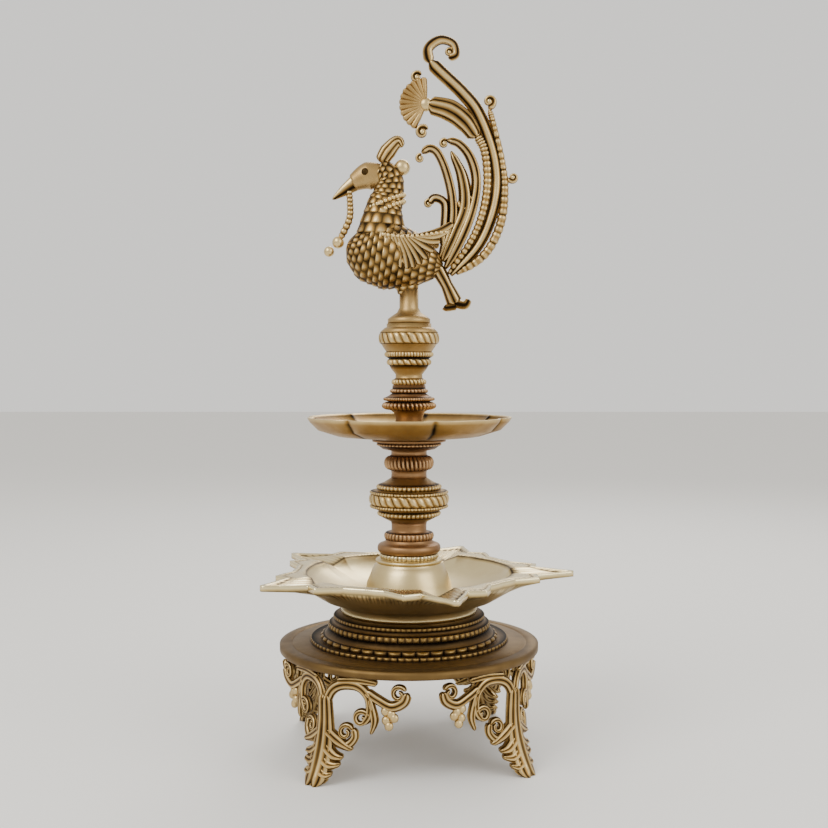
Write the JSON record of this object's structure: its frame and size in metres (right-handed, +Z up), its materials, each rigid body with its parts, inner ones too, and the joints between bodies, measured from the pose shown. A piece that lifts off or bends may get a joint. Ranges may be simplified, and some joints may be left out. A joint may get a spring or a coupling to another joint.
{
  "type": "rooster oil lamp",
  "caption": "Footed brass oil lamp with a star dish of wick spouts, turned column, lobed upper dish and a scroll-tailed bird finial.",
  "frame": {"origin": "on the floor under the middle of the bounding box; the column axis stands at x -9.0 mm, y +1.8 mm", "axes": "+Z up along the column, +X to the viewer's right in the picture, -Y towards the viewer; the bird looks along -X"},
  "size_m": [0.2178, 0.2252, 0.5096],
  "materials": {
    "antique_brass": "aged",
    "dark_brass": "patinated",
    "polished_brass": "polished",
    "coppery_brass": "aged",
    "steel": "plain"
  },
  "bodies": {
    "base": {"base_disc": "dark_brass", "leg_1": "antique_brass", "leg_2": "antique_brass", "leg_3": "antique_brass", "leg_4": "antique_brass", "leg_screw_1": "steel", "leg_screw_2": "steel", "leg_screw_3": "steel", "leg_screw_4": "steel", "leg_screw_5": "steel", "leg_screw_6": "steel", "leg_screw_7": "steel", "leg_screw_8": "steel"},
    "lower_dish": {"lower_dish": "polished_brass", "dome_collar": "polished_brass"},
    "lower_stud": {"lower_stud": "steel"},
    "stem": {"lower_stem": "coppery_brass", "middle_knop": "antique_brass", "stem_top": "coppery_brass"},
    "upper_dish": {"upper_dish": "antique_brass"},
    "upper_stud": {"upper_stud": "steel"},
    "vase": {"squat_bulb": "coppery_brass", "vase": "antique_brass"},
    "finial_stud": {"finial_stud": "steel"},
    "bird": {"bird_body": "antique_brass", "bird_tail": "antique_brass"}
  },
  "joints": [
    {"name": "lower_dish_turn", "type": "hinge", "parent": "base", "child": "lower_dish", "pos_m": [-0.00903, 0.00183, 0.112], "axis": [0, 0, 1], "continuous": true},
    {"name": "lower_stud_rise", "type": "slide", "parent": "base", "child": "lower_stud", "axis": [0, 0, 1], "range_m": [0, 0.0081]},
    {"name": "lower_stem_turn", "type": "hinge", "parent": "lower_stud", "child": "stem", "pos_m": [-0.00903, 0.00183, 0.16], "axis": [0, 0, 1], "range_deg": [0, 1440]},
    {"name": "upper_dish_turn", "type": "hinge", "parent": "stem", "child": "upper_dish", "pos_m": [-0.00903, 0.00183, 0.2259], "axis": [0, 0, 1], "continuous": true},
    {"name": "upper_stud_rise", "type": "slide", "parent": "stem", "child": "upper_stud", "axis": [0, 0, 1], "range_m": [0, 0.0081]},
    {"name": "upper_stem_turn", "type": "hinge", "parent": "upper_stud", "child": "vase", "pos_m": [-0.00903, 0.00183, 0.26], "axis": [0, 0, 1], "range_deg": [0, 1440]},
    {"name": "finial_stud_rise", "type": "slide", "parent": "vase", "child": "finial_stud", "axis": [0, 0, 1], "range_m": [0, 0.0081]},
    {"name": "bird_turn", "type": "hinge", "parent": "finial_stud", "child": "bird", "pos_m": [-0.00903, 0.00183, 0.306], "axis": [0, 0, 1], "range_deg": [0, 1440]}
  ],
  "couplings": [
    {"joint": "lower_stud_rise", "follows": "lower_stem_turn", "m_per_rad": 0.00031831},
    {"joint": "upper_stud_rise", "follows": "upper_stem_turn", "m_per_rad": 0.00031831},
    {"joint": "finial_stud_rise", "follows": "bird_turn", "m_per_rad": 0.00031831}
  ]
}
